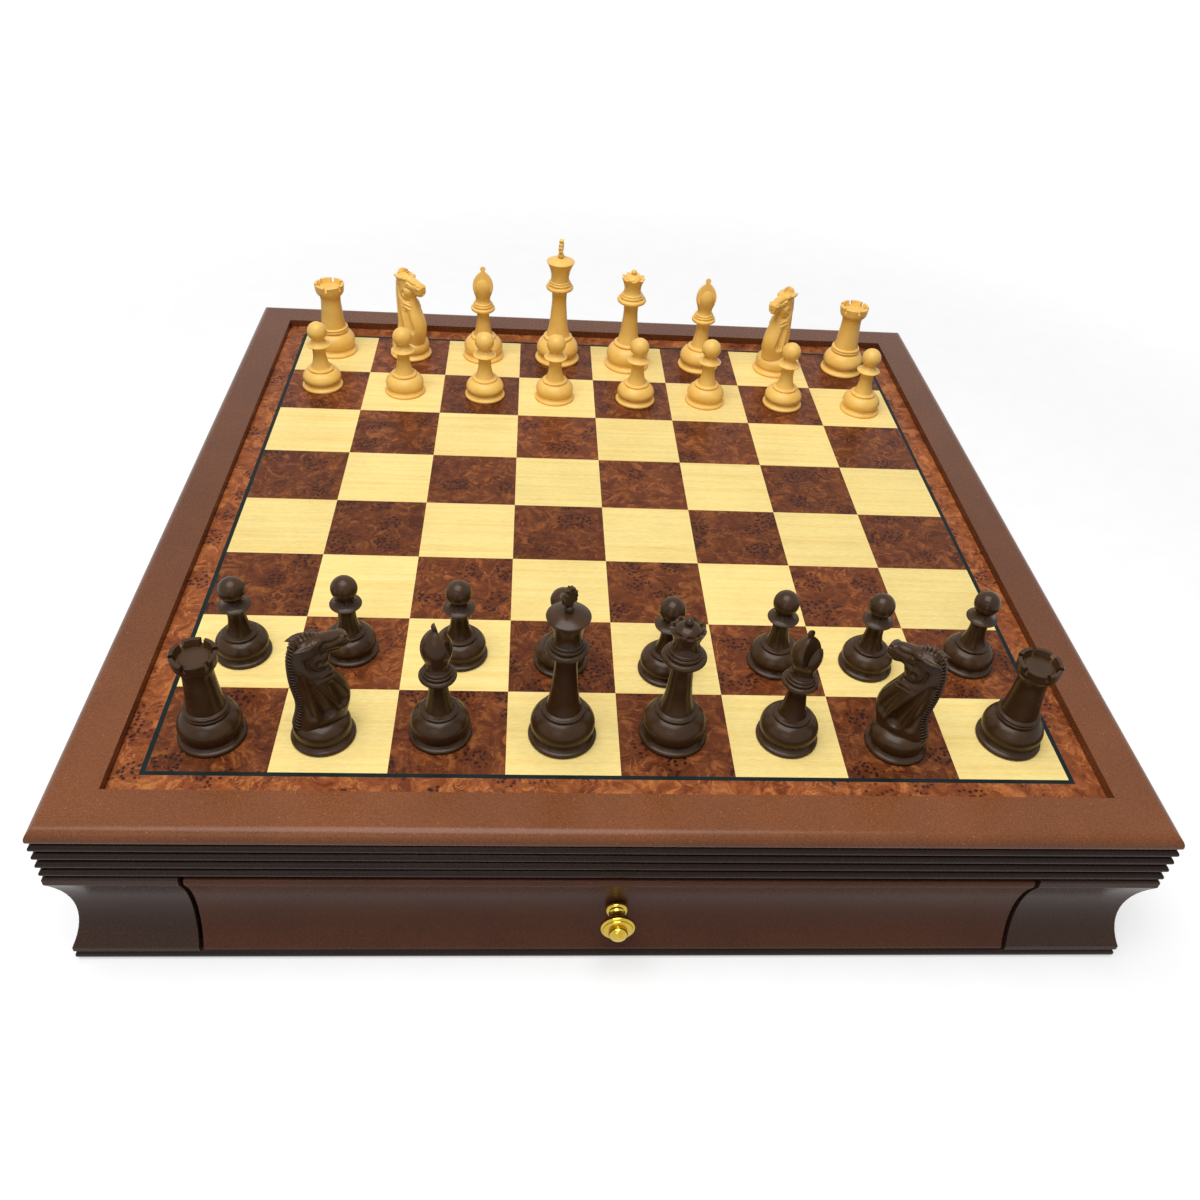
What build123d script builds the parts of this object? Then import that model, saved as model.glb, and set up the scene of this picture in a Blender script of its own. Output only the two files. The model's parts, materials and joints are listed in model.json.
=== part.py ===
from build123d import *
import os

os.makedirs("parts", exist_ok=True)

# Frame: origin in the middle of the underside, +X right, +Y away from the drawer, +Z up. Millimetres.

# Playing field
square = 55.0
squares_per_side = 8
line_w = 2.4
border_w = 12.6
veneer_t = 0.6

# Box outline and the heights of its layers
rail_w = 25.0
base_t = 6.6
cove_h = 59.0
reed_h = 23.7
rail_t = 8.2
recess = 5.0
rail_top_r = 5.4
rail_bottom_r = 2.6
base_edge_r = 3.2

# Cove moulding
cove_t = 16.0
cove_depth = 6.2
lip_h = 4.8
flare_h = 3.4
lip_r = 1.5
nose_r = 2.0
flare_r = 0.8

# Reeded moulding and the panel let into it
reeds = 4
quirk_w = 1.2
quirk_depth = 4.5
reed_t = 32.0
panel_t = 8.3
panel_gap = 0.2

# Drawer
corner_w = 59.4
side_gap = 1.8
bottom_gap = 1.4
top_gap = 1.4
front_edge_r = 1.2
front_lap = 3.4
wall_t = 9.0
slide_gap = 0.4
kicker_gap = 1.0
floor_t = 4.0
floor_lift = 5.0
floor_groove = 4.0
lining_t = 1.2
guide_gap = 0.6
guide_w = 18.0
guide_h = 12.0
stop_gap = 1.0
stop_w = 47.0
stop_h = 20.0
stop_inset = 30.0

# Knob and its screw
knob_r = 8.45
seat_gap = 0.4
thread_r = 1.75
screw_head_r = 3.6
screw_head_h = 2.2
knob_bore = 9.0
drive_w = 0.9
drive_depth = 0.75

# Screws under the base board
base_screw_head_r = 3.8
base_screw_head_h = 2.6
base_screw_r = 1.75
base_screw_len = 20.0
base_screw_inset = 9.0
base_screw_step = 170.0

# Derived levels
field_half = square * squares_per_side / 2
line_half = field_half + line_w
opening_half = line_half + border_w
half_out = opening_half + rail_w
cove_top = base_t + cove_h
reed_top = cove_top + reed_h
top = reed_top + rail_t
board_top = top - recess
panel_top = board_top - veneer_t
panel_bottom = panel_top - panel_t
half_in = half_out - cove_t
reed_pitch = reed_h / reeds
bead_r = (reed_pitch - quirk_w) / 2
corner_in = half_out - corner_w
front_half = corner_in - side_gap
box_half = front_half - front_lap
back_y = half_in - stop_w - stop_gap
drawer_len = back_y + half_in
knob_foot_r = 0.663 * knob_r
knob_seat_r = knob_foot_r + seat_gap
cove_mid = base_t + cove_h / 2
turns = {side: 90 * k for k, side in enumerate(("front", "right", "back", "left"))}


def save(solid, name):
    solid.label = name
    export_step(solid, f"parts/{name}.step")


def mitre(solid, turn, ends=(-1, 1)):
    # Cuts the ends of a front bar off along the diagonals, then turns it to its own side
    with BuildPart() as cut:
        add(solid)
        for end in ends:
            split(bisect_by=Plane(origin=(0, 0, 0), z_dir=(end, 1, 0)), keep=Keep.BOTTOM)
    with BuildPart() as placed:
        with Locations(Location((0, 0, 0), (0, 0, turn))):
            add(cut.part)
    return placed.part


def cove_length(x0, x1, z0, z1):
    # A length of cove moulding from x0 to x1, its face at -half_out in Y, cut to run from z0 up to z1
    low = base_t + flare_h
    high = cove_top - lip_h
    with BuildPart() as board:
        with BuildSketch(Plane.YZ.offset(x0)) as section:
            with BuildLine():
                Line((-half_in, z0), (-half_out, z0))
                Line((-half_out, z0), (-half_out, low))
                ThreePointArc((-half_out, low), (-half_out + cove_depth, (low + high) / 2), (-half_out, high))
                Line((-half_out, high), (-half_out, z1))
                Line((-half_out, z1), (-half_in, z1))
                Line((-half_in, z1), (-half_in, z0))
            make_face()
            outer = [v for v in section.vertices() if abs(v.X + half_out) < 0.01]
            fillet(min(outer, key=lambda v: v.Y), flare_r)
            outer = [v for v in section.vertices() if abs(v.X + half_out) < 0.01]
            fillet(max(outer, key=lambda v: v.Y), lip_r)
            nose = [v for v in section.vertices() if abs(v.Y - high) < 0.01]
            fillet(nose, nose_r)
        extrude(amount=x1 - x0)
    return board.part


def base_screw_spots():
    spots = []
    d = half_out - base_screw_inset
    for k in (-1, 0, 1):
        spots.append((-d, k * base_screw_step))
        spots.append((d, k * base_screw_step))
        spots.append((k * base_screw_step, d))
    end = (corner_in + half_in) / 2
    spots.append((-end, -d))
    spots.append((end, -d))
    return spots


def drill_base_screws(solid):
    with BuildPart() as drilled:
        add(solid)
        with Locations([Location((x, y, base_screw_len / 2)) for x, y in base_screw_spots()]):
            Cylinder(base_screw_r, base_screw_len, mode=Mode.SUBTRACT)
    return drilled.part


# Base board
with BuildPart() as base_board:
    with BuildSketch():
        Rectangle(2 * half_out, 2 * half_out)
    extrude(amount=base_t)
    fillet(base_board.faces().sort_by(Axis.Z)[-1].edges(), base_edge_r)
    fillet(base_board.faces().sort_by(Axis.Z)[0].edges(), base_edge_r)
    with Locations([Location((x, y, base_screw_head_h / 2)) for x, y in base_screw_spots()]):
        Cone(base_screw_head_r, base_screw_r, base_screw_head_h, mode=Mode.SUBTRACT)
    with Locations([Location((x, y, base_t / 2)) for x, y in base_screw_spots()]):
        Cylinder(base_screw_r, base_t, mode=Mode.SUBTRACT)
save(base_board.part, "base_board")

# Screws: countersunk head with a slot, and a plain shank
with BuildPart() as base_screws:
    with Locations([Location((x, y, 0)) for x, y in base_screw_spots()]):
        Cone(
            base_screw_head_r,
            base_screw_r,
            base_screw_head_h,
            align=(Align.CENTER, Align.CENTER, Align.MIN),
        )
        Cylinder(base_screw_r, base_screw_len, align=(Align.CENTER, Align.CENTER, Align.MIN))
        Box(1.3 * base_screw_head_r, drive_w, 2 * drive_depth, mode=Mode.SUBTRACT)
save(base_screws.part, "base_screws")

# Cove panels at the sides and back, and the short front lengths beside the drawer
full_cove = cove_length(-2 * half_out, 2 * half_out, base_t, cove_top)
for side in ("left", "right", "back"):
    save(drill_base_screws(mitre(full_cove, turns[side])), f"cove_panel_{side}")
left_end = cove_length(-2 * half_out, -corner_in, base_t, cove_top)
right_end = cove_length(corner_in, 2 * half_out, base_t, cove_top)
save(drill_base_screws(mitre(left_end, 0, (-1,))), "corner_block_left")
save(drill_base_screws(mitre(right_end, 0, (1,))), "corner_block_right")

# Reeded moulding: half-round beads with narrow quirks, a rebate for the panel at the top inside
with BuildPart() as reeded_bar:
    with BuildSketch(Plane.YZ):
        face_y = -half_out + bead_r
        with Locations(((face_y - half_out + reed_t) / 2, (cove_top + reed_top) / 2)):
            Rectangle(abs(-half_out + reed_t - face_y), reed_h)
        for k in range(reeds):
            mid = cove_top + (k + 0.5) * reed_pitch
            with Locations((face_y, mid)):
                Circle(bead_r)
        for k in range(1, reeds):
            with Locations((face_y + quirk_depth / 2 - bead_r, cove_top + k * reed_pitch)):
                Rectangle(quirk_depth, quirk_w, mode=Mode.SUBTRACT)
        rebate = reed_top - panel_bottom
        with Locations((-opening_half + reed_t / 2, panel_bottom + rebate / 2)):
            Rectangle(reed_t, rebate, mode=Mode.SUBTRACT)
    extrude(amount=2 * half_out, both=True)
reeded_lengths = [mitre(reeded_bar.part, turns[side]) for side in turns]
save(Compound(children=reeded_lengths), "reeded_mouldings")

# Top frame
with BuildPart() as rail_bar:
    with BuildSketch(Plane.YZ) as rail_section:
        with Locations((-(half_out + opening_half) / 2, reed_top + rail_t / 2)):
            Rectangle(half_out - opening_half, rail_t)
        outer = [v for v in rail_section.vertices() if v.X < -half_out + 0.01]
        fillet(max(outer, key=lambda v: v.Y), rail_top_r)
        low = [v for v in rail_section.vertices() if v.Y < reed_top + 0.01]
        fillet(min(low, key=lambda v: v.X), rail_bottom_r)
    extrude(amount=2 * half_out, both=True)
for side in turns:
    save(mitre(rail_bar.part, turns[side]), f"frame_rail_{side}")

# Panel and the veneer on it
with BuildPart() as board_panel:
    with Locations((0, 0, panel_bottom)):
        Box(
            2 * (opening_half - panel_gap),
            2 * (opening_half - panel_gap),
            panel_t,
            align=(Align.CENTER, Align.CENTER, Align.MIN),
        )
save(board_panel.part, "board_panel")

centres = [(k - (squares_per_side - 1) / 2) * square for k in range(squares_per_side)]
for name, parity in (("burl_squares", 0), ("maple_squares", 1)):
    tiles = []
    for i, x in enumerate(centres):
        for j, y in enumerate(centres):
            if (i + j) % 2 == parity:
                with BuildPart() as tile:
                    with Locations((x, y, panel_top)):
                        Box(square, square, veneer_t, align=(Align.CENTER, Align.CENTER, Align.MIN))
                tiles.append(tile.part)
    save(Compound(children=tiles), name)


def veneer_strips(inner, outer):
    strips = []
    for side in turns:
        with BuildPart() as strip:
            with BuildSketch(Plane.XY.offset(panel_top)):
                Polygon((-outer, -outer), (outer, -outer), (inner, -inner), (-inner, -inner), align=None)
            extrude(amount=veneer_t)
        with BuildPart() as placed:
            with Locations(Location((0, 0, 0), (0, 0, turns[side]))):
                add(strip.part)
        strips.append(placed.part)
    return Compound(children=strips)


save(veneer_strips(field_half, line_half), "inlay_line")
save(veneer_strips(line_half, opening_half - panel_gap), "burl_border")

# Drawer front: the cove with its ends and edges rounded, bored for the knob screw
cove_face = -half_out + cove_depth
front_z0 = base_t + bottom_gap
front_z1 = cove_top - top_gap
with BuildPart() as drawer_front:
    add(cove_length(-front_half, front_half, front_z0, front_z1))
    ends = drawer_front.faces().filter_by(Axis.X)
    fillet([e for f in ends for e in f.edges() if e.center().Y < -half_in - 1], front_edge_r)
    with Locations(Location((0, (cove_face - half_in) / 2, cove_mid), (90, 0, 0))):
        Cylinder(thread_r, 4 * cove_t, mode=Mode.SUBTRACT)
    with Locations(Location((0, cove_face, cove_mid), (90, 0, 0))):
        Cylinder(
            knob_seat_r,
            cove_depth,
            align=(Align.CENTER, Align.CENTER, Align.MIN),
            mode=Mode.SUBTRACT,
        )
    floor_z = base_t + floor_lift
    with Locations((0, -half_in, floor_z)):
        Box(
            2 * (box_half - wall_t + floor_groove),
            2 * floor_groove,
            floor_t,
            align=(Align.CENTER, Align.CENTER, Align.MIN),
            mode=Mode.SUBTRACT,
        )
save(drawer_front.part, "drawer_front")

# Drawer box: sides and back grooved for the floor
side_z0 = base_t + slide_gap
side_z1 = cove_top - kicker_gap
for name, sign in (("drawer_side_left", -1), ("drawer_side_right", 1)):
    with BuildPart() as drawer_side:
        with Locations((sign * (box_half - wall_t / 2), -half_in, side_z0)):
            Box(wall_t, drawer_len, side_z1 - side_z0, align=(Align.CENTER, Align.MIN, Align.MIN))
        with Locations((sign * (box_half - wall_t), -half_in, floor_z)):
            Box(
                2 * floor_groove,
                drawer_len,
                floor_t,
                align=(Align.CENTER, Align.MIN, Align.MIN),
                mode=Mode.SUBTRACT,
            )
    save(drawer_side.part, name)
with BuildPart() as drawer_back:
    with Locations((0, back_y - wall_t, floor_z + floor_t)):
        Box(
            2 * (box_half - wall_t),
            wall_t,
            side_z1 - floor_z - floor_t,
            align=(Align.CENTER, Align.MIN, Align.MIN),
        )
save(drawer_back.part, "drawer_back")
with BuildPart() as drawer_bottom:
    with Locations((0, -half_in - floor_groove, floor_z)):
        Box(
            2 * (box_half - wall_t + floor_groove),
            drawer_len + floor_groove,
            floor_t,
            align=(Align.CENTER, Align.MIN, Align.MIN),
        )
save(drawer_bottom.part, "drawer_bottom")
with BuildPart() as drawer_lining:
    with Locations((0, -half_in, floor_z + floor_t)):
        Box(
            2 * (box_half - wall_t),
            drawer_len - wall_t,
            lining_t,
            align=(Align.CENTER, Align.MIN, Align.MIN),
        )
save(drawer_lining.part, "drawer_lining")

# Guides beside the drawer and the stop behind it
guides = []
for sign in (-1, 1):
    with BuildPart() as guide:
        with Locations((sign * (box_half + guide_gap + guide_w / 2), -half_in, base_t)):
            Box(guide_w, 2 * half_in, guide_h, align=(Align.CENTER, Align.MIN, Align.MIN))
    guides.append(guide.part)
save(Compound(children=guides), "drawer_guides")
with BuildPart() as drawer_stop:
    with Locations((0, half_in, base_t)):
        Box(2 * (box_half - stop_inset), stop_w, stop_h, align=(Align.CENTER, Align.MAX, Align.MIN))
save(drawer_stop.part, "drawer_stop")


def turned(r, steps):
    # Solid of revolution about Z. Each step is a list of (radius, height) points, as parts of r, that
    # carries the outline on from where it stands: one point is a line, two an arc, more a spline.
    with BuildPart() as solid:
        with BuildSketch(Plane.XZ):
            with BuildLine():
                at = (0, 0)
                for step in steps:
                    points = [(r * x, r * z) for x, z in step]
                    if len(points) == 1:
                        Line(at, points[0])
                    elif len(points) == 2:
                        ThreePointArc(at, points[0], points[1])
                    else:
                        Spline(at, *points)
                    at = points[-1]
                if at[0] > 0:
                    Line(at, (0, at[1]))
                Line((0, at[1]), (0, 0))
            make_face()
        revolve(axis=Axis.Z)
    return solid.part


# Knob: foot bead, waist, stepped disc and central dome, its axis along -Y
knob = turned(
    knob_r,
    [
        [(0.497, 0)],
        [(knob_foot_r / knob_r, 0.249), (0.485, 0.473)],
        [(0.402, 0.734), (0.426, 0.994)],
        [(0.781, 1.183)],
        [(1, 1.349), (0.947, 1.538)],
        [(0.864, 1.55)],
        [(0.828, 1.645), (0.746, 1.68)],
        [(0.544, 1.692)],
        [(0.545, 1.82), (0.49, 1.97), (0.36, 2.1), (0.19, 2.165), (0.04, 2.18)],
    ],
)
knob_place = Location((0, cove_face, cove_mid), (90, 0, 0))
with BuildPart() as drawer_knob:
    with Locations(knob_place):
        add(knob)
    with Locations(Location((0, cove_face - knob_bore / 2, cove_mid), (90, 0, 0))):
        Cylinder(thread_r, knob_bore, mode=Mode.SUBTRACT)
save(drawer_knob.part, "drawer_knob")
with BuildPart() as knob_screw:
    shank_back = -half_in
    shank_front = cove_face - knob_bore
    with Locations(Location((0, (shank_back + shank_front) / 2, cove_mid), (90, 0, 0))):
        Cylinder(thread_r, shank_back - shank_front)
    with Locations(Location((0, shank_back + screw_head_h / 2, cove_mid), (90, 0, 0))):
        Cylinder(screw_head_r, screw_head_h)
    with Locations((0, shank_back + screw_head_h, cove_mid)):
        Box(1.4 * screw_head_r, 2 * drive_depth, drive_w, mode=Mode.SUBTRACT)
save(knob_screw.part, "knob_screw")

# Chessmen: each is drawn about its own axis, underside at height 0, in parts of its base radius


def turned_foot(h):
    # Base with a rounded rim and a hollow slope, a groove and a domed bulb that ends at height h
    return [
        [(0.962, 0)],
        [(1, 0.075), (0.965, 0.138)],
        [(0.878, 0.2), (0.838, 0.3)],
        [(0.838, 0.332)],
        [(0.885, 0.36)],
        [(0.937, 0.24 * h + 0.277), (0.86, 0.66 * h + 0.124), (0.6, h)],
    ]


pawn_r = 14.3
pawn_body = turned(
    pawn_r,
    turned_foot(0.923)
    + [
        [(0.628, 0.975), (0.56, 1.03)],
        [(0.47, 1.058)],
        [(0.392, 1.27), (0.318, 1.72), (0.343, 2.112)],
        [(0.552, 2.224)],
        [(0.573, 2.245), (0.552, 2.266)],
        [(0.371, 2.392), (0.308, 2.629)],
    ],
)
with BuildPart() as pawn:
    add(pawn_body)
    with Locations((0, 0, 2.93 * pawn_r)):
        Sphere(0.472 * pawn_r)

rook_r = 16.1
crown_floor = 3.081 * rook_r
merlons = 6
rook_body = turned(
    rook_r,
    turned_foot(1.019)
    + [
        [(0.672, 1.085), (0.625, 1.145)],
        [(0.66, 1.195), (0.605, 1.245)],
        [(0.565, 1.262)],
        [(0.512, 1.66), (0.46, 2.236), (0.453, 2.609), (0.478, 2.758)],
        [(0.596, 2.87), (0.64, 3.019)],
        [(0.671, 3.267)],
        [(0.652, 3.292)],
        [(0.54, 3.292)],
        [(0.47, crown_floor / rook_r)],
        [(0.42, crown_floor / rook_r)],
        [(0.4, crown_floor / rook_r + 0.031)],
    ],
)
with BuildPart() as rook:
    add(rook_body)
    with Locations((0, 0, crown_floor)):
        with PolarLocations(0.609 * rook_r, merlons, start_angle=18):
            Box(
                0.34 * rook_r,
                0.13 * rook_r,
                0.5 * rook_r,
                align=(Align.CENTER, Align.CENTER, Align.MIN),
                mode=Mode.SUBTRACT,
            )

bishop_r = 15.4
slit = [(0.24, 3.43), (0.33, 3.43), (0.33, 4.7), (-0.04, 4.7)]
bishop_body = turned(
    bishop_r,
    turned_foot(1.019)
    + [
        [(0.618, 1.075), (0.545, 1.13)],
        [(0.458, 1.158)],
        [(0.39, 1.41), (0.317, 1.85), (0.297, 2.2), (0.318, 2.357)],
        [(0.513, 2.429)],
        [(0.584, 2.532), (0.513, 2.617)],
        [(0.455, 2.63)],
        [(0.494, 2.688), (0.435, 2.74)],
        [(0.442, 2.792), (0.377, 2.844)],
        [(0.344, 3), (0.416, 3.26), (0.487, 3.636), (0.357, 4.052), (0.143, 4.286)],
        [(0.084, 4.338)],
        [(0.084, 4.39)],
    ],
)
with BuildPart() as bishop:
    add(bishop_body)
    with Locations((0, 0, 4.448 * bishop_r)):
        Sphere(0.13 * bishop_r)
    with BuildSketch(Plane.XZ):
        Polygon(*[(bishop_r * x, bishop_r * z) for x, z in slit], align=None)
    extrude(amount=bishop_r, both=True, mode=Mode.SUBTRACT)

queen_r = 16.8
coronet_points = 8
queen_body = turned(
    queen_r,
    turned_foot(1.024)
    + [
        [(0.638, 1.083), (0.57, 1.142)],
        [(0.508, 1.17)],
        [(0.418, 1.52), (0.342, 2.18), (0.315, 2.72), (0.345, 2.976)],
        [(0.56, 3.048)],
        [(0.637, 3.155), (0.56, 3.238)],
        [(0.488, 3.256)],
        [(0.524, 3.31), (0.464, 3.363)],
        [(0.464, 3.417), (0.405, 3.464)],
        [(0.366, 3.607), (0.38, 3.786), (0.5, 4.131)],
        [(0.508, 4.19)],
        [(0.44, 4.19)],
        [(0.395, 4.107)],
        [(0.262, 4.25), (0.101, 4.298)],
        [(0.077, 4.315)],
        [(0.077, 4.357)],
    ],
)
with BuildPart() as queen:
    add(queen_body)
    with Locations((0, 0, 4.387 * queen_r)):
        Sphere(0.125 * queen_r)
    with Locations((0, 0, 4.262 * queen_r)):
        with PolarLocations(0.47 * queen_r, coronet_points):
            Cylinder(0.15 * queen_r, 0.238 * queen_r, rotation=(0, 90, 0), mode=Mode.SUBTRACT)

king_r = 16.8
king_body = turned(
    king_r,
    turned_foot(1.048)
    + [
        [(0.65, 1.108), (0.583, 1.168)],
        [(0.52, 1.196)],
        [(0.432, 1.58), (0.35, 2.36), (0.325, 3.08), (0.351, 3.286)],
        [(0.53, 3.357)],
        [(0.601, 3.452), (0.53, 3.53)],
        [(0.47, 3.548)],
        [(0.506, 3.601), (0.446, 3.655)],
        [(0.452, 3.702), (0.405, 3.75)],
        [(0.393, 3.929), (0.429, 4.167), (0.595, 4.56)],
        [(0.61, 4.589), (0.589, 4.619)],
        [(0.357, 4.714), (0.095, 4.756)],
        [(0.071, 4.78)],
        [(0.145, 4.866), (0.085, 4.95)],
    ],
)
# One side of the lobed cross on the king, up from its foot, and the tip in the middle
cross_foot = 4.893 * king_r
cross_t = 0.154 * king_r
cross_side = [
    (0.077, 0),
    (0.065, 0.119),
    (0.155, 0.202),
    (0.214, 0.179),
    (0.202, 0.274),
    (0.232, 0.345),
    (0.202, 0.417),
    (0.214, 0.5),
    (0.155, 0.476),
    (0.083, 0.512),
    (0.131, 0.631),
    (0.06, 0.643),
]
cross = cross_side + [(0, 0.696)] + [(-x, z) for x, z in reversed(cross_side)]
with BuildPart() as king:
    add(king_body)
    with BuildSketch(Plane.XZ):
        with BuildLine():
            Polyline(*[(king_r * x, cross_foot + king_r * z) for x, z in cross], close=True)
        make_face()
    extrude(amount=cross_t / 2, both=True)

# Knight: looks along +X. Neck sections as (height, back, front, half thickness)
knight_r = 15.5
neck = [
    (0.774, -0.72, 0.75, 0.5),
    (1.032, -0.735, 0.877, 0.555),
    (1.355, -0.632, 0.955, 0.561),
    (1.742, -0.606, 0.961, 0.548),
    (2.129, -0.652, 0.852, 0.51),
    (2.516, -0.69, 0.632, 0.452),
    (2.903, -0.703, 0.452, 0.4),
    (3.29, -0.703, 0.4, 0.348),
    (3.677, -0.619, 0.335, 0.297),
    (3.968, -0.413, 0.232, 0.219),
]
# Head sections as (forward, mid height, half height, half width)
head = [
    (-0.387, 3.742, 0.29, 0.245),
    (0, 3.69, 0.426, 0.31),
    (0.258, 3.639, 0.413, 0.31),
    (0.516, 3.639, 0.316, 0.265),
    (0.774, 3.626, 0.29, 0.239),
    (0.968, 3.587, 0.284, 0.232),
    (1.11, 3.561, 0.181, 0.168),
]
# Mane: a toothed plate down the back of the neck, its forelock and its root inside the neck
mane_t = 0.31 * knight_r
teeth_per_section = 3
forelock = [
    (-0.452, 4.0),
    (-0.432, 4.135),
    (-0.355, 4.09),
    (-0.31, 4.22),
    (-0.226, 4.165),
    (-0.168, 4.265),
    (-0.09, 4.19),
    (-0.032, 4.25),
    (0.052, 4.15),
    (0.123, 4.155),
    (0.155, 4.03),
]
mane_root = [(0.097, 3.871), (-0.129, 3.355), (-0.323, 2.323), (-0.323, 0.774)]
mane = []
for (z0, b0, *_), (z1, b1, *_) in zip(neck, neck[1:]):
    for k in range(teeth_per_section):
        root = k / teeth_per_section
        tip = (k + 0.5) / teeth_per_section
        mane.append((b0 + (b1 - b0) * root, z0 + (z1 - z0) * root))
        mane.append((b0 + (b1 - b0) * tip - 0.09, z0 + (z1 - z0) * tip + 0.019))
mane += forelock + mane_root
with BuildPart() as knight_neck:
    for z, back, fore, half in neck:
        with BuildSketch(Plane.XY.offset(z * knight_r)):
            with Locations(((back + fore) / 2 * knight_r, 0)):
                Ellipse((fore - back) / 2 * knight_r, half * knight_r, rotation=180)
    loft()
with BuildPart() as knight_head:
    for x, mid, tall, wide in head:
        section = Plane(origin=(x * knight_r, 0, mid * knight_r), x_dir=(0, 1, 0), z_dir=(1, 0, 0))
        with BuildSketch(section):
            Ellipse(wide * knight_r, tall * knight_r)
    loft()
with BuildPart() as knight:
    add(turned(knight_r, turned_foot(0.877)))
    add(knight_neck.part)
    add(knight_head.part)
    with Locations((0.116 * knight_r, 0, 3.316 * knight_r)):
        Sphere(0.381 * knight_r)
    with BuildSketch(Plane.XZ):
        with BuildLine():
            Polyline(*[(knight_r * x, knight_r * z) for x, z in mane], close=True)
        make_face()
    extrude(amount=mane_t / 2, both=True)
    for s in (-1, 1):
        ear = Location((-0.297 * knight_r, 0.277 * s * knight_r, 3.935 * knight_r), (0, -90, -7 * s))
        with Locations(ear):
            Cone(0.13 * knight_r, 0.032 * knight_r, 0.67 * knight_r)
        with Locations((0.284 * knight_r, 0.284 * s * knight_r, 3.755 * knight_r)):
            Sphere(0.061 * knight_r)
    for s in (-1, 1):
        with Locations((1.02 * knight_r, 0.155 * s * knight_r, 3.768 * knight_r)):
            Sphere(0.055 * knight_r, mode=Mode.SUBTRACT)
        scoop = Location((-0.174 * knight_r, 0.62 * s * knight_r, 2.18 * knight_r), (0, -19.4, 0))
        with Locations(scoop):
            Cylinder(0.258 * knight_r, 1.2 * knight_r, mode=Mode.SUBTRACT)
    with Locations((0.9 * knight_r, 0, 3.474 * knight_r)):
        Box(0.62 * knight_r, 0.774 * knight_r, 0.06 * knight_r, mode=Mode.SUBTRACT)

# Where each man stands: its square, how far off the middle in hundredths of a square, and its turn
men = {
    "dark_rook_left": (rook.part, "a1", -4.7, -7.1, 0),
    "dark_knight_left": (knight.part, "b1", -9.8, -5.5, 32),
    "dark_bishop_left": (bishop.part, "c1", -8.5, -1.6, 20),
    "dark_king": (king.part, "d1", -0.7, -2.4, 40),
    "dark_queen": (queen.part, "e1", -1.1, 0, 0),
    "dark_bishop_right": (bishop.part, "f1", 2.9, -1.5, -50),
    "dark_knight_right": (knight.part, "g1", 2.2, -8.4, 141),
    "dark_rook_right": (rook.part, "h1", 10.4, 0, 12),
    "light_rook_left": (rook.part, "a8", -4.5, 10.9, 5),
    "light_knight_left": (knight.part, "b8", -0.7, 8.7, -45),
    "light_bishop_left": (bishop.part, "c8", -1.1, 10.4, -90),
    "light_king": (king.part, "d8", 1.6, 10.2, 78),
    "light_queen": (queen.part, "e8", -1.3, 0, 0),
    "light_bishop_right": (bishop.part, "f8", 0, 3.6, -90),
    "light_knight_right": (knight.part, "g8", 6.9, 1.8, -132),
    "light_rook_right": (rook.part, "h8", 7.6, 9.1, 20),
}
dark_pawn_off = [(0, -2), (-0.9, 2.9), (3.1, 0), (-0.9, -7.3)]
dark_pawn_off += [(-1.1, -17.1), (7.1, -4), (-2, -5.1), (2, 2)]
light_pawn_off = [(-6.4, 10.7), (1.1, 4.2), (5.6, 0), (-3.1, 0.9)]
light_pawn_off += [(4.5, 0.7), (-1.6, 4.4), (3.6, 4.4), (8.4, -3.5)]
files = "abcdefgh"
for k, file in enumerate(files):
    men[f"dark_pawn_{k + 1}"] = (pawn.part, f"{file}2", *dark_pawn_off[k], 0)
    men[f"light_pawn_{k + 1}"] = (pawn.part, f"{file}7", *light_pawn_off[k], 0)
for name, (shape, spot, off_x, off_y, turn) in men.items():
    x = centres[files.index(spot[0])] + off_x * square / 100
    y = centres[int(spot[1]) - 1] + off_y * square / 100
    with BuildPart() as man:
        with Locations(Location((x, y, board_top), (0, 0, turn))):
            add(shape)
    save(man.part, name)
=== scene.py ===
import json
import math

import bpy
import numpy as np
from mathutils import Matrix, Vector

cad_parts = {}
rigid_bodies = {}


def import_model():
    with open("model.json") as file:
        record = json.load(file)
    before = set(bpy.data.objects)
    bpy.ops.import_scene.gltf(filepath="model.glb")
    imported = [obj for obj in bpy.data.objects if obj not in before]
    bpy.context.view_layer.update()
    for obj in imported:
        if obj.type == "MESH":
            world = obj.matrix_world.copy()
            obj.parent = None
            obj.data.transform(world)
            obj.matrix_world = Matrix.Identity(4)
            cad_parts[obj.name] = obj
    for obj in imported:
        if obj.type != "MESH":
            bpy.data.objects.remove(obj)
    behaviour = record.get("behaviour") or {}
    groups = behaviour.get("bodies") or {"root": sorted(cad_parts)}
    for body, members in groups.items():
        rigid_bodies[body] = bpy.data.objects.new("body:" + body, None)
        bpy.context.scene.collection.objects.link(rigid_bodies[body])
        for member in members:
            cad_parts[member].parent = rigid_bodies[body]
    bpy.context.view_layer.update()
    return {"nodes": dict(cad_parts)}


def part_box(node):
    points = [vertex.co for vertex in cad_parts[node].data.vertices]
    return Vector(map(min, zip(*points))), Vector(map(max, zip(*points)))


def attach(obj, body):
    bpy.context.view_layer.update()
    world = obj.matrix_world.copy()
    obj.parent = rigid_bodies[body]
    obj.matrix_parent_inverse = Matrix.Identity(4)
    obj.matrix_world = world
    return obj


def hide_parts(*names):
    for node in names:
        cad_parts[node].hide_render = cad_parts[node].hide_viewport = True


for thing in list(bpy.data.objects):
    bpy.data.objects.remove(thing)

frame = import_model()
nodes = frame["nodes"]

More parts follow.
